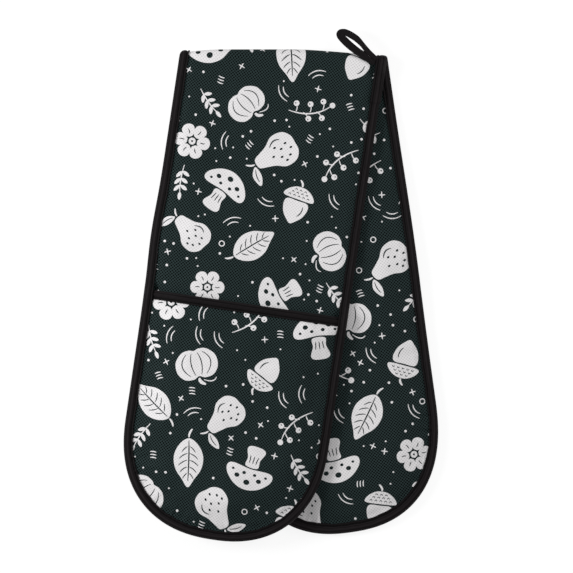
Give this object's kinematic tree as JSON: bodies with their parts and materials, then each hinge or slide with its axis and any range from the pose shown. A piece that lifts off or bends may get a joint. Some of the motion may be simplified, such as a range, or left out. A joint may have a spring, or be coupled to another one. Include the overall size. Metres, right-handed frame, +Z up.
{
  "type": "double oven glove",
  "caption": "Padded fabric strip folded across its middle, with a mitten pocket at each end, bound edges and a hanging loop.",
  "frame": {"origin": "centre of the bounding box, at the level of the table that the folded glove lies on", "axes": "+Z up out of the glove, +Y along it towards the fold and the loop, +X across it to the right as seen from above"},
  "size_m": [0.2766, 0.4504, 0.032],
  "materials": {
    "printed_cloth": "woven cotton canvas, dark green-black with a pale print, matt",
    "binding_tape": "folded cotton bias tape, charcoal black, matt",
    "wadding": "needled cotton and polyester wadding, off-white",
    "lining_cloth": "plain unbleached cotton, matt"
  },
  "bodies": {
    "back_half": {"back_face_cover": "printed_cloth", "back_wadding": "wadding", "back_reverse_cover": "printed_cloth", "back_pocket_cover": "printed_cloth", "back_pocket_wadding": "wadding", "back_pocket_lining": "lining_cloth", "back_mouth_binding": "binding_tape", "back_edge_binding": "binding_tape"},
    "fold": {"fold_face_cover": "printed_cloth", "fold_wadding": "wadding", "fold_reverse_cover": "printed_cloth", "fold_binding_left": "binding_tape", "fold_binding_right": "binding_tape"},
    "front_half": {"front_face_cover": "printed_cloth", "front_wadding": "wadding", "front_reverse_cover": "printed_cloth", "front_pocket_cover": "printed_cloth", "front_pocket_wadding": "wadding", "front_pocket_lining": "lining_cloth", "front_mouth_binding": "binding_tape", "front_edge_binding": "binding_tape", "front_binding_lap": "binding_tape", "loop_tack": "binding_tape"},
    "loop": {"hanging_loop": "binding_tape"}
  },
  "joints": [
    {"name": "lower_fold", "type": "hinge", "parent": "back_half", "child": "fold", "pos_m": [0.00225, 0.20515, 0], "axis": [-1, 0, 0], "range_deg": [0, 87]},
    {"name": "upper_fold", "type": "hinge", "parent": "fold", "child": "front_half", "pos_m": [0.00225, 0.20515, 0.0122], "axis": [-1, 0, 0], "range_deg": [0, 87]},
    {"name": "loop_swing", "type": "hinge", "parent": "front_half", "child": "loop", "pos_m": [0.08338, 0.19725, 0.0141], "axis": [0.6225, 0.7826, 0], "range_deg": [0, 150]}
  ],
  "couplings": [
    {"joint": "upper_fold", "follows": "lower_fold", "ratio": 1}
  ]
}
